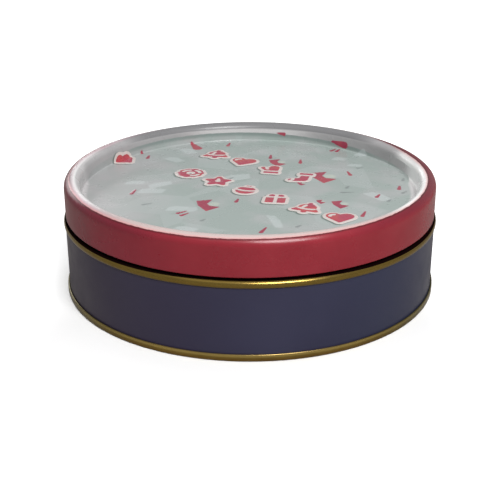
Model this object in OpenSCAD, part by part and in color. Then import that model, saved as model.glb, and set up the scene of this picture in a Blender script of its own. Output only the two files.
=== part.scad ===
// Round slip-lid cookie tin, made of thin printed steel sheet.
//
// Every piece is one sheet of constant thickness, pressed or rolled to a profile and turned about the
// tin's axis. The origin is the centre of the ring that the tin stands on, and +Z points up to the lid.
// A profile is the skin of one face of the sheet, as [radius, height] points. The sheet lies on the
// left of that skin, seen along the direction in which its points run.

/* [Tin] */
// Outside diameter of the plain wall
wall_d = 190.2; // [150:0.1:230]
// Height of the closed tin
tin_h = 59.1; // [50:0.1:90]
// Thickness of the steel sheet
sheet_t = 0.28; // [0.22:0.01:0.32]

/* [Lid] */
// How much smaller the skirt is across than the plain wall
skirt_inset = 0.6; // [0:0.1:1]
// Height of the lid, from the hem to the top of the rim
lid_h = 18.6; // [16:0.1:20]
// Outside radius of the rolled hem
hem_r = 0.65; // [0.6:0.01:0.7]
// Outside radius of the shoulder between skirt and rim
shoulder_r = 4.3; // [4:0.1:5]
// Radius of the roll from the rim down into the recess
rim_roll_r = 3.8; // [3.2:0.1:4.2]
// Depth of the recess, from the top of the rim to the panel
recess_depth = 10.1; // [8:0.1:12]
// Slope of the recess wall from upright, in degrees
recess_draft = 2; // [1:1:10]
// Radius of the corner between the recess wall and the panel
recess_corner_r = 0.8; // [0.5:0.1:1.5]
// Slack between the seated lid and the rolled mouth that carries it
seat_gap = 0.03; // [0.02:0.01:0.05]

/* [Wall] */
// How far the stop bead stands out from the plain wall
bead_out = 0.78; // [0.5:0.01:1]
// Radius of the stop bead
bead_r = 2.1; // [1.8:0.1:2.4]
// Clear height between the stop bead and the hem of the seated lid
hem_gap = 1.2; // [0.8:0.1:2]
// Slack between the hem and the neck, on the radius
neck_gap = 0.2; // [0.1:0.01:0.3]
// Outside radius of the rolled mouth
mouth_r = 0.9; // [0.8:0.01:1]
// Width of the folded side seam
side_seam_w = 4; // [3:0.1:6]

/* [Base] */
// Height of the double seam around the base
seam_h = 3.6; // [3.2:0.1:4]
// Slack between the layers of the double seam, where the sealing lining lies
seam_gap = 0.06; // [0.05:0.01:0.08]
// Radius of the tightest fold in the double seam
fold_r = 0.08; // [0.06:0.01:0.12]
// Height of the base panel above the surface that the tin stands on
panel_lift = 3; // [2.5:0.1:3.2]
// Radius of the corner between the base panel and its rising wall
panel_corner_r = 1; // [0.5:0.1:1.5]
// Distance of the ring bead from the wall
ring_inset = 14; // [10:0.5:30]
// Radius of the ring bead, pressed down into the base panel
ring_r = 2; // [1.5:0.1:2.5]
// Depth of the ring bead
ring_depth = 1; // [0.6:0.1:1.2]

/* [Hidden] */

$fn = 128;
quarter_steps = 8;

wall_r = wall_d / 2;
skirt_r = wall_r - skirt_inset / 2;
hem_z = tin_h - lid_h;
shoulder_c = [skirt_r - shoulder_r, tin_h - shoulder_r];
rim_roll_c = [shoulder_c[0], tin_h - rim_roll_r];
panel_z = tin_h - recess_depth;
hem_open = 75;

// The recess wall leaves the rim roll along its tangent and meets the panel's corner along another.
corner_z = panel_z + recess_corner_r * (1 - sin(recess_draft));
wall_top = rim_roll_c + rim_roll_r * [-cos(recess_draft), sin(recess_draft)];
corner_x = wall_top[0] - (wall_top[1] - corner_z) * tan(recess_draft);
recess_corner_c = [corner_x - recess_corner_r * cos(recess_draft), panel_z + recess_corner_r];

neck_r = skirt_r - 2 * hem_r - neck_gap;
bead_c = [wall_r + bead_out - bead_r, hem_z - hem_gap - bead_r];
bead_start = acos((wall_r - bead_c[0]) / bead_r);
mouth_x = neck_r - mouth_r;
// The rolled mouth sits inside the shoulder: both are round, so their centres are this far apart.
seat_reach = shoulder_r - sheet_t - mouth_r - seat_gap;
mouth_z = shoulder_c[1] + sqrt(pow(seat_reach, 2) - pow(mouth_x - shoulder_c[0], 2));
mouth_open = 285;

// Radii of the double seam's layers, counted outwards from the plain wall.
layer = sheet_t + seam_gap;
chuck_r = wall_r - sheet_t - layer;
cover_hook_r = wall_r + seam_gap;
body_hook_r = wall_r + seam_gap + layer;
seam_r = wall_r + 3 * layer;
flange_z = layer + sheet_t;
turn_r = fold_r + flange_z;
top_fold_r = (seam_r - cover_hook_r) / 2;
body_hook_top = seam_h - sheet_t - 2 * seam_gap;
cover_hook_tip = flange_z + 2 * sheet_t;

side_seam_bottom = seam_h + sheet_t;
side_seam_top = bead_c[1] - bead_r - sheet_t;
side_seam_groove_w = 0.5;
side_seam_groove_depth = 0.12;
side_seam_bite = 0.1;

ring_x = wall_r - ring_inset;
ring_c = [ring_x, panel_lift - ring_depth + ring_r];
ring_half = acos((ring_r - ring_depth) / ring_r);

// Points on an arc about c, from angle a0 to a1, ends included.
function arc(c, r, a0, a1) =
    let (n = max(2, ceil(abs(a1 - a0) / 90 * quarter_steps)))
    [for (i = [0:n]) let (a = a0 + (a1 - a0) * i / n) c + r * [cos(a), sin(a)]];

function unit(v) = v / norm(v);

function left_of(v) = [-v[1], v[0]];

// Corner i of a path moved to the left, so that both of its sides move by distance t.
function moved_corner(path, i, t) =
    let (last = len(path) - 1,
         before = max(i, 1),
         after = min(i + 1, last),
         side_in = left_of(unit(path[before] - path[before - 1])),
         side_out = left_of(unit(path[after] - path[after - 1])),
         mitre = side_in + side_out)
    path[i] + mitre * (2 * t / (mitre * mitre));

// Closed outline of a sheet of thickness t whose one skin is the path.
function sheet(path, t) =
    concat(path, [for (i = [len(path) - 1:-1:0]) moved_corner(path, i, t)]);

// From the free edge inside the hem, up the skirt, over the rim and down to the middle of the panel.
lid_skin = concat(
    arc([skirt_r - hem_r, hem_z + hem_r], hem_r, hem_open, 360),
    arc(shoulder_c, shoulder_r, 0, 90),
    arc(rim_roll_c, rim_roll_r, 90 + 90 / quarter_steps, 180 - recess_draft),
    arc(recess_corner_c, recess_corner_r, -recess_draft, -90),
    [[0, panel_z]]
);

// From the free edge of the hook in the double seam, up the wall, over the bead and into the mouth roll.
wall_skin = concat(
    [[body_hook_r, body_hook_top]],
    arc([body_hook_r - fold_r, flange_z + fold_r], fold_r, 0, -90),
    arc([wall_r + fold_r, flange_z + fold_r], fold_r, -90, -180),
    arc(bead_c, bead_r, -bead_start, 90),
    arc([neck_r + sheet_t, bead_c[1] + bead_r + sheet_t], sheet_t, -90, -180),
    arc([mouth_x, mouth_z], mouth_r, 0, mouth_open)
);

// From the middle of the base panel, out over the ring bead and round the double seam to the cover hook.
base_skin = concat(
    [[0, panel_lift]],
    arc(ring_c, ring_r, -90 - ring_half, -90 + ring_half),
    arc([chuck_r - panel_corner_r, panel_lift - panel_corner_r], panel_corner_r, 90, 0),
    arc([chuck_r + turn_r, turn_r], turn_r, 180, 270),
    arc([seam_r - turn_r, turn_r], turn_r, 270, 360),
    arc([seam_r - top_fold_r, seam_h - top_fold_r], top_fold_r, 0, 180),
    [[cover_hook_r, cover_hook_tip]]
);

module turned_sheet(skin) {
    rotate_extrude()
        polygon(sheet(skin, sheet_t));
}

// The folded edges of the rolled strip, flattened against the inside of the wall.
module side_seam_fold() {
    translate([-side_seam_w / 2, wall_r - 3 * sheet_t, side_seam_bottom])
        cube([side_seam_w, 2 * sheet_t + side_seam_bite, side_seam_top - side_seam_bottom]);
}

// The shallow line that the side seam leaves on the outside of the wall.
module side_seam_groove() {
    translate([-side_seam_groove_w / 2, wall_r - side_seam_groove_depth, side_seam_bottom])
        cube([side_seam_groove_w, sheet_t, side_seam_top - side_seam_bottom]);
}

module body_wall() {
    color("#38394d")
        difference() {
            union() {
                turned_sheet(wall_skin);
                side_seam_fold();
            }
            side_seam_groove();
        }
}

module base_end() {
    color("#8f7c45")
        turned_sheet(base_skin);
}

module lid_shell() {
    color("#8b323b")
        turned_sheet(lid_skin);
}

body_wall();
base_end();
lid_shell();
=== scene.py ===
"""Looks of the slip-lid cookie tin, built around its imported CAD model."""

import math

import bpy
import numpy as np
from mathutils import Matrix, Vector
from mathutils.geometry import delaunay_2d_cdt


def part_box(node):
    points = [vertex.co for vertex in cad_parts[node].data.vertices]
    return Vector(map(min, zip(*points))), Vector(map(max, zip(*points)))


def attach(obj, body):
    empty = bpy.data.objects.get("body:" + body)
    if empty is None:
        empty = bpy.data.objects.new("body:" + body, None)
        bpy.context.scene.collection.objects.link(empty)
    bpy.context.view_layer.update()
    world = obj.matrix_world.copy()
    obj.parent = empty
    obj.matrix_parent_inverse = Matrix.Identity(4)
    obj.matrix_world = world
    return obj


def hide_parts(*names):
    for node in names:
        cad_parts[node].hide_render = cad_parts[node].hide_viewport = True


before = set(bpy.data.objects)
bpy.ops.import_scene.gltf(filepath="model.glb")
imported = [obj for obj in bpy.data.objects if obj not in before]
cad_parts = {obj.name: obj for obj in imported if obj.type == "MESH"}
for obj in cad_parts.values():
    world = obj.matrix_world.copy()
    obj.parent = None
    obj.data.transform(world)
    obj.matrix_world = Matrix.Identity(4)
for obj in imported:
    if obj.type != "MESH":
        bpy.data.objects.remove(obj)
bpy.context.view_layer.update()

MM = 0.001

# ---------------------------------------------------------------- sizes, in millimetres
# The CAD model's own driving sizes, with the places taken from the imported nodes.
WALL_BOX = [Vector(c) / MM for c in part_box("body_wall")]
BASE_BOX = [Vector(c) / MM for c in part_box("base_end")]
LID_BOX = [Vector(c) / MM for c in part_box("lid_shell")]

SHEET = 0.28           # thickness of the tinplate
SEAM_GAP = 0.06        # between the layers of the double seam
LAYER = SHEET + SEAM_GAP
TIN_H = LID_BOX[1].z
HEM_Z = LID_BOX[0].z
SKIRT_R = LID_BOX[1].x
SEAM_R = BASE_BOX[1].x
SEAM_H = BASE_BOX[1].z
WALL_R = SEAM_R - 3 * LAYER
BEAD_R = 2.1
BEAD_OUT = WALL_BOX[1].x - WALL_R

HEM_R = 0.65
HEM_START = 75         # angle at which the lid's free edge lies inside its hem, in degrees
HEM_GAP = 1.2          # between the stop bead and the hem
SHOULDER_R = 4.3
RIM_ROLL_R = 3.8
RECESS_DEPTH = 10.1
RECESS_DRAFT = 2.0     # lean of the recess wall, in degrees
RECESS_CORNER_R = 0.8
NECK_GAP = 0.2         # between the neck and the hem
SEAT_GAP = 0.03        # between the mouth roll and the shoulder that rests on it
MOUTH_R = 0.9
MOUTH_TURN = 285       # how far the mouth is rolled, in degrees
FOLD_R = 0.08
PANEL_LIFT = 3.0       # the base panel's height over the ground
PANEL_CORNER_R = 1.0
PANEL_RINGS = (20.0, 50.0)   # radii of the rings that the flat of the base panel is drawn with
RING_INSET = 14.0
RING_R = 2.0
RING_DEPTH = 1.0
SIDE_SEAM_W = 4.0

ROUND_STEPS = 288      # columns round the tin
QUARTER_STEPS = 10     # rows round a quarter of a bend
SKIRT_ROWS = 8         # rows on the straight stretches
RECESS_ROWS = 4
WALL_ROWS = 12
NECK_ROWS = 6

PANEL_Z = TIN_H - RECESS_DEPTH
SHOULDER_C = (SKIRT_R - SHOULDER_R, TIN_H - SHOULDER_R)
BEAD_C = (WALL_R + BEAD_OUT - BEAD_R, HEM_Z - HEM_GAP - BEAD_R)
BEAD_TOP = BEAD_C[1] + BEAD_R
NECK_R = SKIRT_R - 2 * HEM_R - NECK_GAP
MOUTH_X = NECK_R - MOUTH_R
SEAT_REACH = SHOULDER_R - SHEET - MOUTH_R - SEAT_GAP
MOUTH_Z = SHOULDER_C[1] + math.sqrt(SEAT_REACH ** 2 - (MOUTH_X - SHOULDER_C[0]) ** 2)


# ---------------------------------------------------------------- profiles of the pressed sheet
def arc(centre, radius, a0, a1):
    """Points on an arc from angle a0 to a1, in degrees, ends included."""
    n = max(2, math.ceil(abs(a1 - a0) / 90 * QUARTER_STEPS))
    angles = [math.radians(a0 + (a1 - a0) * i / n) for i in range(n + 1)]
    return [(centre[0] + radius * math.cos(a), centre[1] + radius * math.sin(a)) for a in angles]


def straight(p, q, n):
    """The n - 1 points that divide the line from p to q into n, without its ends."""
    return [(p[0] + (q[0] - p[0]) * i / n, p[1] + (q[1] - p[1]) * i / n) for i in range(1, n)]


def other_skin(path, t):
    """The sheet's second skin: every side of the path moved to its left by t."""
    moved = []
    last = len(path) - 1
    for i, point in enumerate(path):
        before, after = max(i, 1), min(i + 1, last)
        sides = []
        for j in (before, after):
            side = (Vector(path[j]) - Vector(path[j - 1])).normalized()
            sides.append(Vector((-side.y, side.x)))
        mitre = sides[0] + sides[1]
        moved.append(tuple(Vector(point) + mitre * (2 * t / mitre.length_squared)))
    return moved


def lid_profile():
    """Skin of the lid, from the free edge in its hem to the edge of the panel."""
    roll_c = (SHOULDER_C[0], TIN_H - RIM_ROLL_R)
    draft = math.radians(RECESS_DRAFT)
    top = (roll_c[0] - RIM_ROLL_R * math.cos(draft), roll_c[1] + RIM_ROLL_R * math.sin(draft))
    corner_z = PANEL_Z + RECESS_CORNER_R * (1 - math.sin(draft))
    corner_x = top[0] - (top[1] - corner_z) * math.tan(draft)
    corner_c = (corner_x - RECESS_CORNER_R * math.cos(draft), PANEL_Z + RECESS_CORNER_R)
    hem = arc((SKIRT_R - HEM_R, HEM_Z + HEM_R), HEM_R, HEM_START, 360)
    shoulder = arc(SHOULDER_C, SHOULDER_R, 0, 90)
    roll = arc(roll_c, RIM_ROLL_R, 90, 180 - RECESS_DRAFT)[1:]
    corner = arc(corner_c, RECESS_CORNER_R, -RECESS_DRAFT, -90)
    return (hem + straight(hem[-1], shoulder[0], SKIRT_ROWS) + shoulder + roll
            + straight(roll[-1], corner[0], RECESS_ROWS) + corner)


def wall_profile():
    """Skin of the body wall, from its hook in the double seam to the free edge in the mouth roll."""
    hook_r = WALL_R + SEAM_GAP + LAYER
    flange_z = LAYER + SHEET
    bead_start = math.degrees(math.acos((WALL_R - BEAD_C[0]) / BEAD_R))
    hook = [(hook_r, SEAM_H - SHEET - 2 * SEAM_GAP)]
    hook += arc((hook_r - FOLD_R, flange_z + FOLD_R), FOLD_R, 0, -90)
    foot = arc((WALL_R + FOLD_R, flange_z + FOLD_R), FOLD_R, -90, -180)
    bead = arc(BEAD_C, BEAD_R, -bead_start, 90)
    neck = arc((NECK_R + SHEET, BEAD_TOP + SHEET), SHEET, -90, -180)
    mouth = arc((MOUTH_X, MOUTH_Z), MOUTH_R, 0, MOUTH_TURN)
    return (hook + foot + straight(foot[-1], bead[0], WALL_ROWS) + bead + neck
            + straight(neck[-1], mouth[0], NECK_ROWS) + mouth)


def base_profile():
    """Skin of the base end, from the flat of its panel to the free edge of the cover hook."""
    chuck_r = WALL_R - SHEET - LAYER
    hook_r = WALL_R + SEAM_GAP
    turn_r = FOLD_R + LAYER + SHEET
    fold_top_r = (SEAM_R - hook_r) / 2
    ring_c = (WALL_R - RING_INSET, PANEL_LIFT - RING_DEPTH + RING_R)
    ring_half = math.degrees(math.acos((RING_R - RING_DEPTH) / RING_R))
    return ([(r, PANEL_LIFT) for r in PANEL_RINGS]
            + arc(ring_c, RING_R, -90 - ring_half, -90 + ring_half)
            + arc((chuck_r - PANEL_CORNER_R, PANEL_LIFT - PANEL_CORNER_R), PANEL_CORNER_R, 90, 0)
            + arc((chuck_r + turn_r, turn_r), turn_r, 180, 270)
            + arc((SEAM_R - turn_r, turn_r), turn_r, 270, 360)
            + arc((SEAM_R - fold_top_r, SEAM_H - fold_top_r), fold_top_r, 0, 180)
            + [(hook_r, LAYER + 3 * SHEET)])


def sheet_reach(skin):
    """How far each point of a skin lies from its last point, along the sheet."""
    steps = [math.dist(a, b) for a, b in zip(skin, skin[1:])]
    return [sum(steps[i:]) for i in range(len(skin))]


LID_SKIN = lid_profile() + [(0.0, PANEL_Z)]
LID_REACH = sheet_reach(LID_SKIN)
CREST_S = max(s for s, (r, z) in zip(LID_REACH, LID_SKIN) if z > TIN_H - 1e-6)
PANEL_S = LID_REACH[-2]


# ---------------------------------------------------------------- shader helpers
class Nodes:
    """A short way to write a node material: a call adds nodes and returns the last one's output."""

    def __init__(self, name):
        self.material = bpy.data.materials.new(name)
        self.material.use_nodes = True
        self.tree = self.material.node_tree
        self.tree.nodes.clear()
        self.out = self.tree.nodes.new("ShaderNodeOutputMaterial")

    def add(self, kind, inputs=None, output=0, **settings):
        node = self.tree.nodes.new("ShaderNode" + kind)
        for key, value in settings.items():
            setattr(node, key, value)
        for key, value in (inputs or {}).items():
            self.put(node.inputs[key], value)
        return node.outputs[output]

    def put(self, socket, value):
        if isinstance(value, bpy.types.NodeSocket):
            self.tree.links.new(value, socket)
        else:
            socket.default_value = value

    def math(self, operation, a, b=0.0):
        return self.add("Math", {0: a, 1: b}, operation=operation)

    def plus(self, first, *others):
        for value in others:
            first = self.math("ADD", first, value)
        return first

    def times(self, first, *others):
        for value in others:
            first = self.math("MULTIPLY", first, value)
        return first

    def most(self, first, *others):
        for value in others:
            first = self.math("MAXIMUM", first, value)
        return first

    def axis(self, vector, index):
        return self.add("SeparateXYZ", {0: vector}, index)

    def distance(self, vector, centre):
        moved = self.add("VectorMath", {0: vector, 1: (*centre, 0.0)}, operation="SUBTRACT")
        return self.add("VectorMath", {0: moved}, 1, operation="LENGTH")

    def ramp(self, value, low, high, out_low=0.0, out_high=1.0):
        """Smooth step of value between low and high."""
        inputs = {"Value": value, "From Min": low, "From Max": high, "To Min": out_low, "To Max": out_high}
        return self.add("MapRange", inputs, interpolation_type="SMOOTHSTEP")

    def zone(self, at, by=1.0, **limits):
        """Smooth steps in places of at, multiplied. A pair says where a step starts and where it is full."""
        return self.times(by, *[self.ramp(at[name], *pair) for name, pair in limits.items()])

    def mix(self, factor, a, b):
        node = self.tree.nodes.new("ShaderNodeMix")
        node.data_type = "RGBA"
        for socket, value in ((node.inputs[0], factor), (node.inputs[6], a), (node.inputs[7], b)):
            self.put(socket, value)
        return node.outputs[2]

    def layers(self, color, tones):
        """A colour with others laid over it in turn, each as a pair of its cover and itself."""
        for cover, tone in tones:
            color = self.mix(cover, color, tone)
        return color

    def noise(self, vector, scale, detail=3.0, roughness=0.5):
        """Soft noise of about scale cells to the millimetre."""
        inputs = {"Vector": vector, "Scale": scale, "Detail": detail, "Roughness": roughness}
        return self.add("TexNoise", inputs)

    def finish(self, **inputs):
        names = {"color": "Base Color", "roughness": "Roughness", "metallic": "Metallic", "normal": "Normal",
                 "specular": "Specular IOR Level", "coat": "Coat Weight", "coat_roughness": "Coat Roughness"}
        shader = self.add("BsdfPrincipled", {names[key]: value for key, value in inputs.items()})
        self.tree.links.new(shader, self.out.inputs["Surface"])
        return self.material


def rgb(red, green, blue):
    """An 8-bit display colour as linear light."""
    def linear(c):
        c /= 255
        return c / 12.92 if c <= 0.04045 else ((c + 0.055) / 1.055) ** 2.4
    return (linear(red), linear(green), linear(blue), 1.0)


def object_mm(n):
    """Object coordinates in millimetres."""
    return n.add("VectorMath", {0: n.add("TexCoord", output=3), 1: (1 / MM,) * 3}, operation="MULTIPLY")


def object_places(n):
    """Where a point lies in the tin's own frame, in millimetres."""
    place = object_mm(n)
    across = n.axis(place, 0)
    aside, height = n.math("ABSOLUTE", across), n.axis(place, 2)
    return {"place": place, "across": across, "aside": aside, "height": height}


VARNISH_PEEL = 0.012   # strength of the varnish's orange peel
LID_ROUGHNESS = 0.28
WALL_ROUGHNESS = 0.36
BEAD_SMOOTHER = 0.14   # how much smoother the wall's bare lacquer is than its print
BASE_ROUGHNESS = 0.24


def varnish(n, place, roughness):
    """Roughness and relief of varnish over print: soft orange peel, faint rubs and dust."""
    peel = n.noise(place, 0.9, 2.0)
    rubs = n.noise(place, 0.05, 4.0, 0.6)
    dust = n.noise(place, 6.0, 2.0)
    height = n.plus(n.times(peel, 0.7), n.times(dust, 0.15))
    normal = n.add("Bump", {"Height": height, "Strength": VARNISH_PEEL, "Distance": 0.1 * MM})
    shine = n.ramp(rubs, 0.3, 0.75, roughness - 0.04, roughness + 0.06)
    return shine, normal


# ---------------------------------------------------------------- the lid's print
# On the flat sheet: centre and radius of the red border's edge and of the mint ground.
RED_CENTRE, RED_R = (-0.9, -2.4), CREST_S + 0.2
RED_SLACK = 3.6        # how much further out the red begins at the back
LEFT_SLACK = 0.8       # and at the left
MINT_CENTRE, MINT_R = (-1.4, 3.6), PANEL_S + 1.7
MINT_SLACK = (3.6, 2.2)      # how much sooner the mint ends, at the left and at the right
MINT_ENDS_Y = -8.0     # where along the sheet it does so
WOBBLE = 0.5           # how far the printed edges wander

MINT = rgb(152, 163, 159)
MINT_FADED = rgb(168, 170, 170)
MINT_FLECK = rgb(184, 190, 190)
MINT_LEFT = rgb(168, 158, 162)
MINT_GRAIN = rgb(138, 148, 146)
# painted shade: the mint darkened at the foot of the recess wall at the back
MINT_BACK_SHADE = rgb(118, 130, 127)

WHITE = (rgb(196, 194, 195), rgb(207, 204, 204))
# painted shade: the white rim grayed at the back
WHITE_BACK_SHADE = rgb(160, 160, 160)
# painted light: WHITE_LIT is a painted lit patch on the right rim and wall and a painted highlight on the
# left crest, and WHITE_CREST is the right crest's dimmer painted light
WHITE_LIT = rgb(248, 248, 247)
WHITE_CREST = rgb(216, 214, 213)
# painted shade: the gray that darkens the white rim at the back and the recess wall at the sides
WHITE_SHADED = rgb(110, 110, 112)
WHITE_BLUSH = rgb(176, 112, 132)
WHITE_FRONT = rgb(184, 142, 132)
# painted shade: a dark band on the outer side of the crest at the left
WHITE_OUTER_SHADE = rgb(86, 76, 80)
# the pink line between white and red is print; its darker, grayer copy at the back is painted shade
PINK_AND_BACK_SHADE = (rgb(212, 150, 150), rgb(132, 112, 116))      # the line between white and red, front and back

RED = (rgb(134, 32, 44), rgb(144, 38, 50))
# painted shade: the red darker and more purple at the left
RED_LEFT_SHADE = rgb(96, 26, 58)
# painted shade: the shoulder's red darker at the sides
RED_SHOULDER_SHADE = rgb(84, 18, 36)
RED_LINE = rgb(72, 10, 18)

ROSE = (rgb(166, 66, 86), rgb(180, 78, 80))
ROSE_GRAIN = rgb(140, 64, 82)
CRIMSON = (rgb(150, 42, 70), rgb(164, 56, 72))
CREAM = (rgb(208, 198, 194), rgb(192, 185, 181))
PALE = rgb(192, 200, 200)
GRAY = rgb(110, 116, 116)
SHADE = rgb(84, 98, 92)
BOBBLE = rgb(190, 196, 182)


def sheet_places(n):
    """Where a point of the print lies on the flat sheet, in millimetres.

    It runs across to the right and along to the back. The red, the crest and the mint say how far it is
    outside the red border's edge, the rim's crest and the mint ground's edge.
    """
    flat = n.add("Attribute", output=1, attribute_name="flat")
    across, along = n.axis(flat, 0), n.axis(flat, 1)
    at = {"flat": flat, "across": across, "along": along, "aside": n.math("ABSOLUTE", across)}
    at["grain"] = n.noise(flat, 1.6, 3.0, 0.7)
    wobble = n.times(n.math("SUBTRACT", n.noise(flat, 0.25, 3.0), 0.5), WOBBLE)
    at_back = n.zone(at, by=RED_SLACK, along=(25, 95))
    at_left = n.zone(at, by=LEFT_SLACK, across=(-70, -95), along=(-45, 0))
    slack = n.times(n.most(at_back, at_left), -1.0)
    at["red"] = n.plus(n.distance(flat, RED_CENTRE), wobble, slack, -RED_R)
    at["crest"] = n.plus(n.distance(flat, (0.0, 0.0)), -CREST_S)
    at["beside_ends"] = n.math("ABSOLUTE", n.plus(along, -MINT_ENDS_Y))
    ends = n.zone(at, beside_ends=(28, 12), aside=(60, 80))
    at["ends"] = n.times(ends, n.ramp(across, -40, 40, *MINT_SLACK))
    at["mint"] = n.plus(n.distance(flat, MINT_CENTRE), wobble, at["ends"], -MINT_R)
    return at


def mint_ground(n, at):
    """The mint panel, with faded patches and flecks. It is pinker at the left, and painted shade darkens it
    at the foot of the recess wall at the back.
    """
    faded = n.ramp(n.noise(at["flat"], 0.045, 2.0, 0.5), 0.42, 0.66, 0.0, 0.7)
    cells = n.add("TexVoronoi", {"Vector": at["flat"], "Scale": 0.05, "Randomness": 1.0}, output=1)
    flecks = n.ramp(n.add("SeparateColor", {"Color": cells}), 0.55, 0.75, 0.0, 0.22)
    return n.layers(MINT, [
        (faded, MINT_FADED),
        (flecks, MINT_FLECK),
        (n.zone(at, by=0.4, across=(-30, -80)), MINT_LEFT),
        (n.zone(at, by=0.14, grain=(0.35, 0.75)), MINT_GRAIN),
        (n.zone(at, by=0.75, mint=(-3.0, -1.0), along=(35, 72)), MINT_BACK_SHADE)])


def white_rim(n, at):
    """The white rim and recess wall, with painted light: a painted lit patch at the right, a little less
    bright on its crest, and a painted highlight along the crest at the left. Painted shade tones it down at
    the back and the left.
    """
    right_wall = n.zone(at, crest=(-6.0, -7.0), across=(50, 68), along=(8, 30))
    right = n.zone(at, across=(66, 82), along=(42, 24), crest=(-13.5, -12.0))
    right_crest = n.times(right, n.zone(at, crest=(-4.6, -3.2), along=(-2, 16)))
    right = n.times(right, n.ramp(right_wall, 0.0, 1.0, 1.0, 0.0))
    left_crest = n.times(n.zone(at, crest=(-2.2, -1.0), across=(-70, -88)), n.zone(at, crest=(2.6, 0.8)))
    pink = n.mix(n.zone(at, along=(20, 60)), *PINK_AND_BACK_SHADE)
    return n.layers(n.mix(n.zone(at, grain=(0.3, 0.7)), *WHITE), [
        (n.zone(at, by=0.2, along=(60, 80)), WHITE_BACK_SHADE),
        (n.most(right, left_crest), WHITE_LIT),
        (right_crest, WHITE_CREST),
        (n.times(rim_shade(n, at, right, right_wall), 0.9), WHITE_SHADED),
        (n.zone(at, by=0.6, red=(-3.6, -0.4), across=(-40, -92)), WHITE_BLUSH),
        (n.zone(at, by=0.45, along=(-50, -85)), WHITE_FRONT),
        (n.zone(at, by=0.9, crest=(-1.0, 1.6), across=(-40, -75), along=(-42, -12)), WHITE_OUTER_SHADE),
        (n.zone(at, by=0.6, red=(-1.4, -0.2)), pink)])


def rim_shade(n, at, right, right_wall):
    """How far painted shade darkens the white, on the rim at the back and on the recess wall at both sides.
    """
    back = n.zone(at, crest=(-5.8, -4.4), red=(0.0, -1.0), along=(35, 72))
    sides = n.zone(at, by=0.6, aside=(20, 48), along=(22, 45))
    left = n.zone(at, by=0.2, across=(-50, -80), along=(45, 22))
    tone = n.most(back, n.plus(sides, left), n.times(right_wall, 0.42))
    bright = n.times(right, n.zone(at, along=(62, 30)))
    tone = n.times(tone, n.ramp(bright, 0.0, 1.0, 1.0, 0.1))
    return n.most(tone, n.zone(at, by=0.5, across=(-45, -72), along=(0, 16), crest=(-1.5, -3.5)))


def red_skirt(n, at, place):
    """The red skirt, with painted shade that makes it darker and more purple at the left and darker on the
    shoulder's sides, and deeper along the edge of the white.
    """
    cloud = n.ramp(n.noise(place, 0.03, 3.0), 0.35, 0.7)
    return n.layers(n.mix(cloud, *RED), [
        (n.zone(at, by=0.22, across=(-20, -88)), RED_LEFT_SHADE),
        (n.zone(at, by=0.6, red=(6.0, 2.0), aside=(30, 85)), RED_SHOULDER_SHADE),
        (n.zone(at, by=0.75, red=(1.3, 0.3)), RED_LINE)])


def inks(n, at, place):
    """The ornaments' inks, in the order they are printed: colour, cover and half width of the soft edge."""
    warm = n.ramp(n.noise(place, 0.09, 1.0), 0.45, 0.68)
    rose = n.mix(n.zone(at, by=0.3, grain=(0.35, 0.8)), n.mix(warm, *ROSE), ROSE_GRAIN)
    cream = n.mix(n.zone(at, grain=(0.3, 0.7)), *CREAM)
    return {
        "pale": (PALE, 0.42, 0.5),
        "gray": (GRAY, 0.7, 0.5),
        "shade": (SHADE, 0.85, 0.7),
        "bobble": (BOBBLE, 0.5, 0.8),
        "crimson": (n.mix(warm, *CRIMSON), 0.95, 0.2),
        "cream": (cream, 1.0, 0.12),
        "rose": (rose, 1.0, 0.12)}


def print_material():
    """The printed lid: mint panel, white rim and red skirt, as they lie on the flat sheet, then the inks."""
    n = Nodes("lid_print")
    place = object_mm(n)
    at = sheet_places(n)
    soft = n.ramp(at["ends"], 0.0, 3.0, -0.25, -2.0)
    color = n.mix(n.ramp(at["mint"], soft, 0.25), mint_ground(n, at), white_rim(n, at))
    color = n.mix(n.zone(at, red=(-0.2, 0.2)), color, red_skirt(n, at, place))
    for name, (ink, cover, edge) in inks(n, at, place).items():
        plate = n.add("Attribute", output=2, attribute_name=name)
        color = n.mix(n.ramp(plate, -edge, edge, 0.0, cover), color, ink)
    shine, normal = varnish(n, place, LID_ROUGHNESS)
    return n.finish(color=color, roughness=shine, normal=normal, specular=0.42)


# ---------------------------------------------------------------- print and lacquer of the wall and base
PRINT_TOP = BEAD_C[1] - BEAD_R + 1.0   # the wall's print ends where its stop bead begins
METAL = 0.85           # how metallic lacquered tinplate looks
LACQUER_COAT = 0.2
LACQUER_COAT_ROUGHNESS = 0.3

NAVY = (rgb(43, 42, 66), rgb(48, 48, 72))
NAVY_LEFT = rgb(50, 40, 62)
# partly a bluer hue, partly painted shade: the navy darker at the right
NAVY_RIGHT_SHADE = rgb(36, 42, 66)
NAVY_SPECK = rgb(76, 76, 94)
BEAD_GOLD = (rgb(122, 99, 40), rgb(138, 115, 50))
# painted shade: near black in the gap between the stop bead and the hem
GAP_SHADE = rgb(14, 5, 5)

GOLD = (rgb(132, 107, 44), rgb(150, 126, 58))
# painted shade: the gold darker towards its foot
GOLD_FOOT_SHADE = rgb(108, 76, 28)
# painted highlight: a bright band near the top of the seam
GOLD_HIGHLIGHT = rgb(200, 176, 104)
GOLD_TOP = rgb(92, 76, 60)
# painted shade: the gold darker and greener at the sides
GOLD_SIDE_SHADE = rgb(80, 84, 30)
GOLD_WORN = rgb(104, 82, 40)

TINPLATE = (rgb(168, 168, 164), rgb(190, 190, 186))


def navy_print(n, at):
    """Navy ink with faint clouds and specks, warmer at the left, and bluer and darker at the right, where
    the darkening is painted shade.
    """
    cloud = n.ramp(n.noise(at["place"], 0.02, 3.0), 0.3, 0.7)
    specks = n.ramp(n.noise(at["place"], 2.5, 2.0, 0.6), 0.7, 0.78, 0.0, 0.25)
    return n.layers(n.mix(cloud, *NAVY), [
        (n.zone(at, by=0.7, across=(10, -85)), NAVY_LEFT),
        (n.zone(at, by=0.7, across=(0, 80)), NAVY_RIGHT_SHADE),
        (specks, NAVY_SPECK)])


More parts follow.
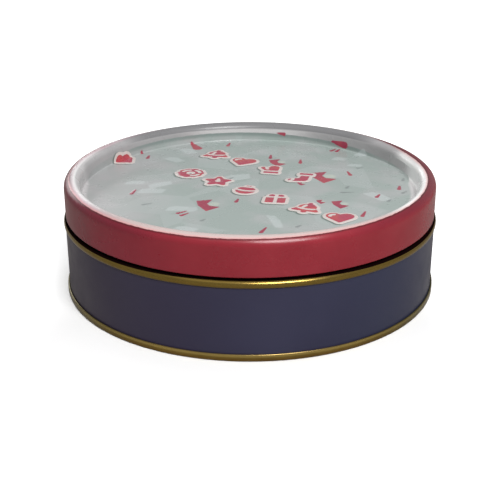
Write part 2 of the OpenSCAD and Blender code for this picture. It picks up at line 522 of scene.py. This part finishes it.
def wall_material():
    """Outside of the wall: navy print, gold lacquer from the bead up, and painted shade in the gap under the
    hem.
    """
    n = Nodes("wall_print")
    at = object_places(n)
    bare = n.zone(at, height=(PRINT_TOP - 0.15, PRINT_TOP + 0.15))
    lacquer = n.mix(n.noise(at["place"], 0.15, 4.0, 0.6), *BEAD_GOLD)
    at["grimy_height"] = n.plus(at["height"], n.zone(at, by=0.55, aside=(15, 75)))
    # painted shade in the gap under the hem; it also takes away the metal and the shine there
    gap_shade = n.zone(at, grimy_height=(BEAD_TOP - 0.45, BEAD_TOP - 0.1), height=(HEM_Z + 0.2, HEM_Z - 0.2))
    unshaded = n.ramp(gap_shade, 0.0, 1.0, 1.0, 0.0)
    metal = n.times(bare, unshaded, METAL)
    shine, normal = varnish(n, at["place"], WALL_ROUGHNESS)
    shine = n.plus(shine, n.times(bare, -BEAD_SMOOTHER))
    color = n.mix(gap_shade, n.mix(bare, navy_print(n, at), lacquer), GAP_SHADE)
    return n.finish(color=color, roughness=n.most(shine, gap_shade), normal=normal, metallic=metal,
                    specular=n.times(unshaded, 0.45), coat=n.times(metal, LACQUER_COAT),
                    coat_roughness=LACQUER_COAT_ROUGHNESS)


def gold_material():
    """Gold lacquer over steel, on the base, with painted shade at its foot and sides and a painted highlight
    near the seam's top.
    """
    n = Nodes("gold_lacquer")
    at = object_places(n)
    cloud = n.ramp(n.noise(at["place"], 0.1, 4.0, 0.6), 0.3, 0.7)
    # painted highlight near the seam's top
    seam_highlight = n.times(n.zone(at, height=(2.0, 2.5)), n.zone(at, by=0.55, height=(3.5, 3.2)))
    worn = n.ramp(n.noise(at["place"], 1.4, 4.0, 0.7), 0.62, 0.74, 0.0, 0.35)
    gold = n.layers(n.mix(cloud, *GOLD), [
        (n.zone(at, by=0.7, height=(2.8, 0.2)), GOLD_FOOT_SHADE),
        (seam_highlight, GOLD_HIGHLIGHT),
        (n.zone(at, by=0.6, height=(3.3, 3.5)), GOLD_TOP),
        (n.zone(at, by=0.55, aside=(40, 90)), GOLD_SIDE_SHADE),
        (worn, GOLD_WORN)])
    shine, normal = varnish(n, at["place"], BASE_ROUGHNESS)
    return n.finish(color=gold, roughness=shine, normal=normal, metallic=METAL,
                    coat=LACQUER_COAT, coat_roughness=LACQUER_COAT_ROUGHNESS)


def steel_material():
    """Bare tinplate on the inside, with the fine lines of its rolling."""
    n = Nodes("bare_tinplate")
    place = object_mm(n)
    drawn_out = n.add("VectorMath", {0: place, 1: (0.02, 1.0, 1.0)}, operation="MULTIPLY")
    lines = n.noise(drawn_out, 3.0, 3.0, 0.7)
    steel = n.mix(n.ramp(n.noise(place, 0.04, 3.0), 0.3, 0.7), *TINPLATE)
    normal = n.add("Bump", {"Height": lines, "Strength": 0.08, "Distance": 0.05 * MM})
    shine = n.ramp(lines, 0.3, 0.7, 0.3, 0.42)
    return n.finish(color=steel, roughness=shine, normal=normal, metallic=0.9)


# ---------------------------------------------------------------- shapes of the print, in millimetres
# A shape is a distance field: positive inside, negative outside, at numpy arrays of places x, y.
def dot(x, y, cx, cy, r):
    return r - np.hypot(x - cx, y - cy)


def stroke(x, y, ax, ay, bx, by, ra, rb=None):
    """A round-ended stroke from a to b, whose half width runs from ra to rb."""
    rb = ra if rb is None else rb
    dx, dy = bx - ax, by - ay
    t = np.clip(((x - ax) * dx + (y - ay) * dy) / (dx * dx + dy * dy), 0, 1)
    return ra + (rb - ra) * t - np.hypot(x - ax - t * dx, y - ay - t * dy)


def bow(x, y, cx, cy, r, a0, a1, w):
    """A round-ended stroke along an arc of radius r, from angle a0 to a1 in degrees."""
    middle, half = math.radians((a0 + a1) / 2), math.radians(abs(a1 - a0) / 2)
    turn = np.arctan2(y - cy, x - cx) - middle
    turn = np.clip((turn + math.pi) % (2 * math.pi) - math.pi, -half, half) + middle
    return w - np.hypot(x - cx - r * np.cos(turn), y - cy - r * np.sin(turn))


def outline(x, y, points, rounding=0.0):
    """A polygon with its corners rounded outwards."""
    away = np.full_like(x, np.inf)
    inside = np.zeros(x.shape, bool)
    for (ax, ay), (bx, by) in zip(points, points[1:] + points[:1]):
        dx, dy = bx - ax, by - ay
        t = np.clip(((x - ax) * dx + (y - ay) * dy) / (dx * dx + dy * dy), 0, 1)
        away = np.minimum(away, np.hypot(x - ax - t * dx, y - ay - t * dy))
        if ay != by:
            crosses = (ay > y) != (by > y)
            inside ^= crosses & (x < (bx - ax) * (y - ay) / (by - ay) + ax)
    return np.where(inside, away, -away) + rounding


def block(x, y, x0, y0, x1, y1, rounding):
    """A rectangle between two corners, rounded outwards."""
    return outline(x, y, [(x0, y0), (x1, y0), (x1, y1), (x0, y1)], rounding)


def union(*fields):
    return np.maximum.reduce(fields)


def without(field, *cuts):
    return np.minimum(field, -union(*cuts))


def nothing(x):
    """A field that is far outside everywhere."""
    return np.full_like(x, -50.0)


def star_points(tips, outer, inner):
    """Corners of a star that stands on two tips, alternately out and in."""
    angles = [math.radians(90.0 + 180.0 * i / tips) for i in range(2 * tips)]
    return [(r * math.cos(a), r * math.sin(a)) for a, r in zip(angles, [outer, inner] * tips)]


# Each ornament fits a circle of radius 1, and returns its body and the pale lines across it.
LINE = 0.08            # half width of those lines


def bell(x, y):
    side = [(0.78, -0.5), (0.52, -0.12), (0.44, 0.3), (0.2, 0.56)]
    cup = outline(x, y, side + [(-px, py) for px, py in reversed(side)], 0.18)
    clapper, loop = dot(x, y, 0, -0.74, 0.24), dot(x, y, 0, 0.8, 0.2)
    lines = union(bow(x, y, 0, 1.0, 1.25, 245, 295, LINE), stroke(x, y, -0.28, 0.05, -0.2, 0.42, LINE))
    return union(cup, clapper, loop), lines


def heart(x, y):
    point = outline(x, y, [(-0.74, 0.0), (0.0, -0.78), (0.74, 0.0), (0.0, 0.5)], 0.14)
    body = union(dot(x, y, -0.42, 0.26, 0.54), dot(x, y, 0.42, 0.26, 0.54), point)
    return body, bow(x, y, -0.38, 0.22, 0.27, 95, 185, LINE)


def small_heart(x, y):
    """A heart with no line, for the rim."""
    return heart(x, y)[0], nothing(x)


def star(x, y):
    body = outline(x, y, star_points(5, 0.84, 0.46), 0.18)
    return body, union(dot(x, y, 0, 0, 0.16), stroke(x, y, 0, 0, 0.0, 0.42, LINE))


def mitten(x, y):
    hand = stroke(x, y, 0.12, -0.1, 0.18, 0.42, 0.48, 0.42)
    thumb = stroke(x, y, -0.25, -0.15, -0.62, 0.28, 0.28, 0.22)
    cuff = block(x, y, -0.36, -0.8, 0.52, -0.5, 0.14)
    lines = union(stroke(x, y, -0.5, -0.42, 0.68, -0.42, LINE), stroke(x, y, -0.26, 0.02, -0.38, 0.26, LINE))
    return union(hand, thumb, cuff), lines


def stocking(x, y):
    leg = stroke(x, y, 0.3, 0.5, 0.26, -0.3, 0.32, 0.36)
    foot = stroke(x, y, 0.22, -0.42, -0.5, -0.62, 0.38, 0.3)
    cuff = block(x, y, -0.06, 0.56, 0.66, 0.82, 0.14)
    lines = union(stroke(x, y, -0.2, 0.46, 0.82, 0.46, LINE), bow(x, y, -0.9, -0.5, 0.46, -50, 40, LINE))
    return union(leg, foot, cuff), lines


def wreath(x, y):
    angles = [math.radians(36 * i + 10) for i in range(10)]
    ring = union(*[dot(x, y, 0.6 * math.cos(a), 0.6 * math.sin(a), 0.36) for a in angles])
    lines = union(*[bow(x, y, 0, 0, 0.62, a, a + 50, LINE) for a in (20, 110, 290)])
    return without(ring, dot(x, y, 0, 0, 0.27)), lines


def bauble(x, y):
    cap = block(x, y, -0.16, 0.5, 0.16, 0.74, 0.08)
    lines = union(bow(x, y, 0, 1.1, 1.35, 240, 300, LINE), stroke(x, y, -0.26, 0.54, 0.26, 0.54, LINE))
    return union(dot(x, y, 0, -0.16, 0.74), cap), lines


def gift(x, y):
    box = block(x, y, -0.58, -0.72, 0.58, 0.2, 0.14)
    ribbon = union(dot(x, y, -0.28, 0.52, 0.28), dot(x, y, 0.28, 0.52, 0.28))
    lines = union(stroke(x, y, 0, -0.9, 0, 0.8, LINE), stroke(x, y, -0.8, 0.26, 0.8, 0.26, LINE))
    return union(box, ribbon), lines


# Two rows of single ornaments, then a small one by the rim: shape, centre, radius and extra turn.
ROW_TURN = -14.0
ORNAMENTS = [
    (bell, -19, 58, 7.8, 4), (heart, -3.7, 44.2, 7.5, -6), (mitten, 11.6, 30.4, 7.5, 4),
    (stocking, 26.9, 16.6, 7.8, 2),
    (wreath, -32, 24, 7.8, 0), (star, -17, 10.5, 7.5, 6), (bauble, -2, -3, 7.5, -4),
    (gift, 13, -16.5, 7.5, 6), (bell, 28, -30, 7.5, -8), (heart, 43, -43.5, 7.5, 6),
    (small_heart, -70.3, 46.6, 6.6, 60)]
BORDER = 1.4           # how far an ornament's pale ground reaches past its shape
INSET = 0.3            # how far its ink stays inside
SHADE_SHIFT = (0.7, 0.9)     # how far its shade lies to the left and to the front

# Small marks. Caps have one outline, at a centre and a radius, and a bobble at the right. Flames, darts and
# ticks are strokes from one end to the other, and patches are torn flakes along such a line. Their last
# numbers, or those in MARK_WIDTHS, are half widths at both ends, or a flake's width.
CAP_OUTLINE = [
    (-0.65, 0.9), (0.4, 1.15), (0.05, 0.35), (0.25, -0.1), (0.95, -0.35), (0.1, -1.1), (-0.5, 0.0)]
CAP_ROUNDING = 0.3
BOBBLE_PLACE, BOBBLE_R = (0.6, 0.25), 0.4
MARK_WIDTHS = {"dart": (1.1, 0.5), "tick": (0.9, 0.4)}
CAPS = [(38, 17, 8.0), (-22, -26, 7.0), (44, -25, 4.8), (14.5, 42.5, 5.5), (35, -21, 2.4), (26.5, 7, 2.4)]
FLAMES = [(-30.5, 70, -34.5, 80, 2.8, 1.0), (56.5, 68.8, 49.5, 75, 2.2, 0.6)]
DARTS = [
    (-13, 75, -12, 81), (28, 42, 28.5, 48), (54, 21, 53, 27), (-60.5, -9, -59, -3), (5, -62, 7.5, -56),
    (54, -41, 56, -35), (77, -2, 78, 3), (11.5, 51, 12, 57), (-58, 51, -57.5, 56), (-62, 60, -64, 63),
    (-7, -21, -6, -17), (21.5, 88, 16.5, 89.5), (64, -14, 66, -10), (-35, -37, -31, -34),
    (-33, -40, -30, -37), (47, 65, 50, 69), (50, 64, 52, 68)]
TICKS = [
    (47, -7, 53, -6.5), (50, 0, 51.5, 3), (-53, -25, -49, -23), (69, -20, 71, -17), (78, -8, 80.5, -5),
    (-23, -47, -21.5, -45), (22, -55, 24, -53), (59, 33, 62, 34), (-11, 15, -9, 17), (81, 12, 82, 16)]
PATCHES = [
    (-50, 3, -44, 8, 3.5), (-54, -5, -47, -4, 4.0), (-63, 8, -58, 9, 3.0), (-38, -31, -33, -30, 3.5),
    (62, 57, 65, 58, 3.0), (49, 50, 52, 50, 3.0), (56, 38, 60, 38, 2.5), (10, -42, 14, -54, 2.5),
    (-33, -57, -27, -58, 3.0), (-28, -31, -31, -33, 3.0), (-37, 66, -34, 63, 4.0), (62, -10, 68, -16, 4.0),
    (-45, 50, -40, 47, 3.5), (-10, 15, -4, 19, 5.0)]


def in_frame(x, y, cx, cy, size, turn):
    """Places x, y seen from a shape's own frame, where its radius is 1."""
    c, s = math.cos(math.radians(turn)), math.sin(math.radians(turn))
    return ((x - cx) * c + (y - cy) * s) / size, ((y - cy) * c - (x - cx) * s) / size


def flake(x, y, ax, ay, bx, by, r):
    """A torn flake lying along a to b, r wide to each side."""
    length = math.hypot(bx - ax, by - ay)
    ux, uy = (bx - ax) / length, (by - ay) / length
    corners = [(-r, -0.5 * r), (length + 0.3 * r, -r), (length + r, 0.3 * r), (0.4 * length, r),
               (-0.4 * r, 0.8 * r)]
    return outline(x, y, [(ax + ux * p - uy * q, ay + uy * p + ux * q) for p, q in corners], 0.2)


def cap(x, y, cx, cy, r):
    return outline(x, y, [(cx + u * r, cy + v * r) for u, v in CAP_OUTLINE], CAP_ROUNDING)


def bobble(x, y, cx, cy, r):
    u, v = BOBBLE_PLACE
    return dot(x, y, cx + u * r, cy + v * r, BOBBLE_R * r)


def ornament_plates(x, y):
    """Fields of the ornaments' ink, of their pale ground and of the shade beside them."""
    rose = cream = shade = nothing(x)
    for shape, cx, cy, size, extra in ORNAMENTS:
        place = (cx, cy, size, ROW_TURN + extra)
        body, lines = shape(*in_frame(x, y, *place))
        shifted, _ = shape(*in_frame(x + SHADE_SHIFT[0], y + SHADE_SHIFT[1], *place))
        rose = union(rose, without(body, lines) * size - INSET)
        cream = union(cream, body * size + BORDER)
        shade = union(shade, shifted * size + BORDER)
    return {"rose": rose, "cream": cream, "shade": shade}


def print_plates(x, y):
    """The lid's printing plates: one distance field in millimetres for each ink, on the flat sheet."""
    plates = ornament_plates(x, y)
    caps = union(*[cap(x, y, *place) for place in CAPS])
    flames = union(*[stroke(x, y, *flame) for flame in FLAMES])
    darts = union(*[stroke(x, y, *dart, *MARK_WIDTHS["dart"]) for dart in DARTS])
    plates["crimson"] = np.minimum(union(caps, flames, darts), -plates["cream"])
    plates["gray"] = union(*[stroke(x, y, *tick, *MARK_WIDTHS["tick"]) for tick in TICKS])
    plates["pale"] = union(*[flake(x, y, *patch) for patch in PATCHES])
    plates["bobble"] = union(*[bobble(x, y, *place) for place in CAPS])
    return plates


# ---------------------------------------------------------------- meshes
EDGE_ANGLE = 38        # a mesh's edges are sharp from this angle on, in degrees


def smooth_step(values, low, high):
    t = np.clip((values - low) / (high - low), 0, 1)
    return t * t * (3 - 2 * t)


def even_angles():
    return np.arange(ROUND_STEPS) * (2 * math.pi / ROUND_STEPS)


def turn_rings(path, angles):
    """Vertices of a profile turned about Z, ring after ring, with a column at each angle."""
    r, z = np.array(path).T
    around = np.stack([np.cos(angles), np.sin(angles)], axis=-1)
    flat = r[:, None, None] * around[None]
    up = np.broadcast_to(z[:, None, None], flat.shape[:2] + (1,))
    return np.concatenate([flat, up], axis=-1)


def ring_faces(first, rows, columns, closed):
    """Quads between rings of a turned profile; closed joins the last ring to the first."""
    faces = []
    for j in range(rows if closed else rows - 1):
        low, high = first + j * columns, first + (j + 1) % rows * columns
        steps = [(i, (i + 1) % columns) for i in range(columns)]
        faces += [(low + i, low + k, high + k, high + i) for i, k in steps]
    return faces


def link(name, data):
    """A new object with this data, in the scene."""
    new = bpy.data.objects.new(name, data)
    bpy.context.scene.collection.objects.link(new)
    return new


def make_piece(name, body, verts, faces, materials, face_materials):
    """A mesh object in metres from vertices in millimetres, riding on a body of the frame."""
    mesh = bpy.data.meshes.new(name)
    mesh.from_pydata((np.asarray(verts) * MM).tolist(), [], faces)
    for material in materials:
        mesh.materials.append(material)
    mesh.polygons.foreach_set("material_index", face_materials)
    mesh.polygons.foreach_set("use_smooth", [True] * len(faces))
    mesh.set_sharp_from_angle(angle=math.radians(EDGE_ANGLE))
    mesh.validate()
    piece = link(name, mesh)
    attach(piece, body)
    return piece


# ---------------------------------------------------------------- lid
FINE_STEP = 0.5        # closest spacing of the panel's vertices, round the ornaments
EMBOSS_BORDER = 0.26   # how far the ornaments' pale border stands up
EMBOSS_BODY = 0.24     # how far their bodies stand above it
EMBOSS_CAPS = 0.12     # how far the small red marks stand up
LATTICE_INSET = 0.3    # how far the panel's lattice keeps inside its innermost ring
ON_RING = 0.02         # a vertex this close to the turned part's last ring belongs to it

# Points of the lid's profile from the rim's roll inwards, which are meshed with the panel.
PANEL_ROWS = RECESS_ROWS + 1 + len(arc((0.0, 0.0), RECESS_CORNER_R, -RECESS_DRAFT, -90))


def emboss(plates):
    """Height of the pressed relief over the flat panel, in millimetres."""
    border = smooth_step(plates["cream"], -0.4, 0.8) * EMBOSS_BORDER
    body = smooth_step(plates["rose"], -0.1, 1.5) * EMBOSS_BODY
    caps = smooth_step(plates["crimson"], -0.3, 0.9) * EMBOSS_CAPS
    return border + body + caps


def panel_spacing(x, y):
    """Spacing that the panel's vertices need, in fine steps: 1 at the print's edges, 8 far from them."""
    plates = print_plates(x, y)
    to_edge = np.min([np.abs(plates[key]) for key in ("cream", "rose", "crimson", "gray")], axis=0)
    need = np.select([to_edge < 1.0, to_edge < 3.0, to_edge < 8.0], [1, 2, 4], 8)
    need = np.where(plates["cream"] > 0, 1, need)
    return np.where(np.abs(plates["pale"]) < 0.5, np.minimum(need, 2), need)


def panel_places(radius):
    """A triangular lattice over the panel, in nested spacings."""
    row_step = FINE_STEP * math.sqrt(0.75)
    n = int(radius / row_step) + 1
    j, i = np.meshgrid(np.arange(-n, n + 1), np.arange(-2 * n, 2 * n + 1), indexing="ij")
    x, y = FINE_STEP * (i + 0.5 * j), row_step * j
    near = np.hypot(x, y) < radius
    i, j, x, y = i[near], j[near], x[near], y[near]
    level = np.ones(i.shape, int)
    for size in (2, 4, 8):
        level[(i % size == 0) & (j % size == 0)] = size
    keep = level >= panel_spacing(x, y)
    return x[keep], y[keep]


def panel_triangles(ring_radii, radius):
    """Triangles over the flat sheet inside the outer ring, with every ring kept as edges."""
    angles = even_angles()
    x, y = panel_places(radius)
    points = [Vector((r * math.cos(a), r * math.sin(a))) for r in ring_radii for a in angles]
    edges = [(k * ROUND_STEPS + i, k * ROUND_STEPS + (i + 1) % ROUND_STEPS)
             for k in range(len(ring_radii)) for i in range(ROUND_STEPS)]
    points += [Vector(p) for p in zip(x.tolist(), y.tolist())]
    verts, _, faces, _, _, _ = delaunay_2d_cdt(points, edges, [], 0, 1e-6)
    return np.array([tuple(v) for v in verts]), [tuple(f) for f in faces]


def on_skin(skin, reach, spread):
    """Radius and height on a skin, for vertices that lie as far as spread from the flat sheet's middle."""
    inside_out = np.array(skin)[::-1]
    return np.stack([np.interp(spread, reach[::-1], column) for column in inside_out.T], axis=-1)


def panel_sides(skin, inner, reach, xy):
    """The panel's vertices on the outer and on the inner skin, with the relief pressed into both."""
    spread = np.hypot(xy[:, 0], xy[:, 1])
    around = xy / np.maximum(spread, 1e-9)[:, None]
    outer, under = on_skin(skin, reach, spread), on_skin(inner, reach, spread)
    lift = (outer - under) / SHEET * emboss(print_plates(xy[:, 0], xy[:, 1]))[:, None]
    sides = (outer + lift, under + lift)
    return [np.concatenate([around * rz[:, :1], rz[:, 1:]], axis=-1) for rz in sides]


def lid_sheet(materials):
    """The whole lid as one pressed sheet: turned hem, skirt and rim, then the panel with its relief."""
    skin, inner, reach = LID_SKIN, other_skin(LID_SKIN, SHEET), np.array(LID_REACH)
    turned = len(skin) - PANEL_ROWS
    edge = turned - 1
    path = inner[:turned][::-1] + skin[:turned]
    flat_path = [(s, 0.0) for s in np.concatenate([reach[:turned][::-1], reach[:turned]])]
    rings = turn_rings(path, even_angles()).reshape(-1, 3)
    flat_rings = turn_rings(flat_path, even_angles()).reshape(-1, 3)

    xy, triangles = panel_triangles(reach[edge:-1], reach[-2] - LATTICE_INSET)
    top, under = panel_sides(skin[edge:], inner[edge:], reach[edge:], xy)
    own = np.hypot(xy[:, 0], xy[:, 1]) <= reach[edge] - ON_RING
    turns = np.arctan2(xy[:, 1], xy[:, 0]) / (2 * math.pi)
    column = np.rint(turns * ROUND_STEPS).astype(int) % ROUND_STEPS
    own_index = len(rings) + np.cumsum(own) - 1
    top_index = np.where(own, own_index, (len(path) - 1) * ROUND_STEPS + column)
    under_index = np.where(own, own_index + np.count_nonzero(own), column)

    verts = np.concatenate([rings, top[own], under[own]])
    faces = ring_faces(0, len(path), ROUND_STEPS, closed=False)
    faces += [tuple(int(top_index[v]) for v in t) for t in triangles]
    faces += [tuple(int(under_index[v]) for v in reversed(t)) for t in triangles]
    kinds = [1] * (turned * ROUND_STEPS) + [0] * ((turned - 1) * ROUND_STEPS)
    kinds += [0] * len(triangles) + [1] * len(triangles)
    piece = make_piece("lid_sheet", "lid", verts, faces, materials, kinds)
    store_plates(piece.data, np.concatenate([flat_rings[:, :2], xy[own], xy[own]]))
    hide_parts("lid_shell")


def store_plates(mesh, flat_xy):
    """Keeps each vertex's place on the flat sheet, and the printing plates there, as attributes."""
    flat = np.concatenate([flat_xy, np.zeros((len(flat_xy), 1))], axis=-1)
    mesh.attributes.new("flat", "FLOAT_VECTOR", "POINT").data.foreach_set("vector", flat.ravel())
    for name, field in print_plates(flat_xy[:, 0], flat_xy[:, 1]).items():
        mesh.attributes.new(name, "FLOAT", "POINT").data.foreach_set("value", field)


# ---------------------------------------------------------------- body wall and base end
BACK = math.pi / 2     # direction of the side seam
SEAM_GROOVE = 0.12     # depth of the side seam's line on the outside
GROOVE_HALF = 0.3      # half its width
GROOVE_COLUMNS = (-2, -1, -0.5, 0, 0.5, 1, 2)   # columns across the line, in half widths from its middle
GROOVE_CLEAR = 3       # how far from it the even columns keep, in half widths
FOLD_EDGE = 0.25       # how far the round edges of the seam's folded strip stand out
FOLD_STEPS = 9
FOLD_END = 0.15        # length of the strip's narrowed ends
FOLD_NARROW = 0.94     # and their share of its width


def wall_sheet(materials):
    """The body wall, with the line of its side seam pressed in at the back."""
    half = GROOVE_HALF / WALL_R
    angles = [a for a in even_angles() if abs(a - BACK) > GROOVE_CLEAR * half]
    angles = np.sort(np.concatenate([angles, [BACK + k * half for k in GROOVE_COLUMNS]]))
    skin = wall_profile()
    path = skin + other_skin(skin, SHEET)[::-1]
    rings = turn_rings(path, angles)
    r, z = np.array(path).T
    seam_rows = (z > SEAM_H + 0.2) & (z < BEAD_C[1] - BEAD_R) & (r > WALL_R - 0.5)
    depth = SEAM_GROOVE * smooth_step(np.abs(angles - BACK), half, 0)
    pull = np.where(seam_rows[:, None], depth[None, :], 0.0)
    rings[..., :2] *= (1 - pull / WALL_R)[..., None]
    faces = ring_faces(0, len(path), len(angles), closed=True)
    kinds = [0 if j < len(skin) - 1 else 1 for j in range(len(path)) for _ in range(len(angles))]
    verts, faces, kinds = add_side_seam(rings.reshape(-1, 3), faces, kinds)
    piece = make_piece("wall_sheet", "tin", verts, faces, materials, kinds)
    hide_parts("body_wall")


def add_side_seam(verts, faces, kinds):
    """The folded side seam, which stands on the inside of the wall as a flat strip with round edges."""
    inner_r = WALL_R - SHEET
    half = SIDE_SEAM_W / 2 - FOLD_EDGE
    section = [(half + FOLD_EDGE * math.sin(a), inner_r - SHEET - SHEET * math.cos(a))
               for a in np.linspace(0, math.pi, FOLD_STEPS)]
    section += [(-u, r) for u, r in reversed(section)]
    low, high = SEAM_H + SHEET, BEAD_C[1] - BEAD_R - SHEET
    levels = [(low, FOLD_NARROW), (low + FOLD_END, 1.0), (high - FOLD_END, 1.0), (high, FOLD_NARROW)]
    strip = []
    for z, share in levels:
        for u, r in section:
            a = BACK + u * share / inner_r
            strip.append((r * math.cos(a), r * math.sin(a), z))
    first, n = len(verts), len(section)
    last = first + (len(levels) - 1) * n
    new = [face[::-1] for face in ring_faces(first, len(levels), n, closed=False)]
    new.append(tuple(range(first, first + n)))
    new.append(tuple(reversed(range(last, last + n))))
    return np.concatenate([verts, strip]), faces + new, kinds + [1] * len(new)


def base_sheet(materials):
    """The base end: sunk panel, ring bead, and the double seam rolled round the foot of the wall."""
    skin = base_profile()
    inner = other_skin(skin, SHEET)
    path = skin + inner[::-1]
    rings = turn_rings(path, even_angles()).reshape(-1, 3)
    poles = np.array([(0, 0, skin[0][1]), (0, 0, inner[0][1])])
    faces = ring_faces(0, len(path), ROUND_STEPS, closed=False)
    last = (len(path) - 1) * ROUND_STEPS
    pole = len(rings)
    around = [(i, (i + 1) % ROUND_STEPS) for i in range(ROUND_STEPS)]
    faces += [(pole, j, i) for i, j in around]
    faces += [(pole + 1, last + i, last + j) for i, j in around]
    kinds = [0 if j < len(skin) else 1 for j in range(len(path) - 1) for _ in around]
    kinds += [0] * len(around) + [1] * len(around)
    verts = np.concatenate([rings, poles])
    piece = make_piece("base_sheet", "tin", verts, faces, materials, kinds)
    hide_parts("base_end")


# ---------------------------------------------------------------- studio, in metres
AIM_Z = 0.05           # height that the lights face and stand over
# name, azimuth, elevation, distance, size, power
LIGHTS = [
    ("key", -68, 47, 1.2, (0.45, 0.45), 14.0),
    ("window", 105, 12, 1.6, (0.3, 0.18), 0.7),
    ("side", 128, 16, 1.5, (0.6, 0.5), 2.5),
    ("overhead", -90, 78, 1.4, (1.8, 1.8), 4.0)]
WORLD_LEVEL = 0.45     # how bright the surroundings are as a light, against 1 to the eye

FLOOR_HALF = 3.0
FLOOR_SEEN = (0.80, 0.82)             # how pale the floor is to the eye
FLOOR_LIT = (0.34, 0.32, 0.3, 1)      # its colour as a light
FLOOR_GLOW = (0.07, 0.6)              # its glow to the eye, close to the tin's front and further off
FLOOR_GLOW_CENTRE = (0.0, -120.0)     # the place that close and far are measured from, in millimetres
FLOOR_GLOW_REACH = (100, 180)

CAMERA_PLACE = (0, -0.4864, 0.2187)
CAMERA_DOWN = 22.81    # how far it looks down, in degrees
LENS = 71.4
SENSOR = 36.0


def softbox(name, azimuth, elevation, distance, size, power):
    """A soft light at a direction from the tin, facing it."""
    a, e = math.radians(azimuth), math.radians(elevation)
    data = bpy.data.lights.new(name, "AREA")
    data.shape = "RECTANGLE"
    data.size, data.size_y = size
    data.energy = power
    light = link(name, data)
    aim = Vector((0.0, 0.0, AIM_Z))
    away = Vector((math.cos(e) * math.cos(a), math.cos(e) * math.sin(a), math.sin(e))) * distance
    light.location = aim + away
    light.rotation_euler = (-away).to_track_quat("-Z", "Y").to_euler()


def studio_world(level):
    """Even pale surroundings, dimmer as a light than they are to the eye."""
    world = bpy.data.worlds.new("studio")
    bpy.context.scene.world = world
    world.use_nodes = True
    tree = world.node_tree
    tree.nodes.clear()
    out = tree.nodes.new("ShaderNodeOutputWorld")
    background = tree.nodes.new("ShaderNodeBackground")
    rays = tree.nodes.new("ShaderNodeLightPath")
    strength = tree.nodes.new("ShaderNodeMapRange")
    strength.inputs["To Min"].default_value = level
    strength.inputs["To Max"].default_value = 1.0
    tree.links.new(rays.outputs["Is Camera Ray"], strength.inputs["Value"])
    tree.links.new(strength.outputs[0], background.inputs["Strength"])
    tree.links.new(background.outputs[0], out.inputs["Surface"])


def floor_material():
    """White to the eye and dimmer as a light, so that the floor doesn't wash out the tin."""
    n = Nodes("floor")
    place = object_mm(n)
    seen = n.add("LightPath", output=0)
    pale = n.mix(n.noise(place, 0.01, 2.0), *[(level, level, level, 1) for level in FLOOR_SEEN])
    lit = n.add("BsdfDiffuse", {"Color": n.mix(seen, FLOOR_LIT, pale)})
    level = n.ramp(n.distance(place, FLOOR_GLOW_CENTRE), *FLOOR_GLOW_REACH, *FLOOR_GLOW)
    glow = n.add("Emission", {"Color": (1, 1, 1, 1), "Strength": n.times(seen, level)})
    both = n.add("AddShader", {0: lit, 1: glow})
    n.tree.links.new(both, n.out.inputs["Surface"])
    return n.material


def floor():
    """A plain pale floor."""
    mesh = bpy.data.meshes.new("floor")
    h = FLOOR_HALF
    mesh.from_pydata([(-h, -h, 0), (h, -h, 0), (h, h, 0), (-h, h, 0)], [], [(0, 1, 2, 3)])
    mesh.materials.append(floor_material())
    link("floor", mesh)


def camera():
    """The camera at the photo's angle."""
    data = bpy.data.cameras.new("camera")
    data.lens = LENS
    data.sensor_width = SENSOR
    eye = link("camera", data)
    eye.location = CAMERA_PLACE
    eye.rotation_euler = (math.radians(90 - CAMERA_DOWN), 0, 0)
    bpy.context.scene.camera = eye


camera()
studio_world(WORLD_LEVEL)
for light in LIGHTS:
    softbox(*light)
floor()
bpy.context.scene.view_settings.view_transform = "Standard"

steel = steel_material()
gold = gold_material()
lid_sheet([print_material(), steel])
wall_sheet([wall_material(), steel])
base_sheet([gold, gold])
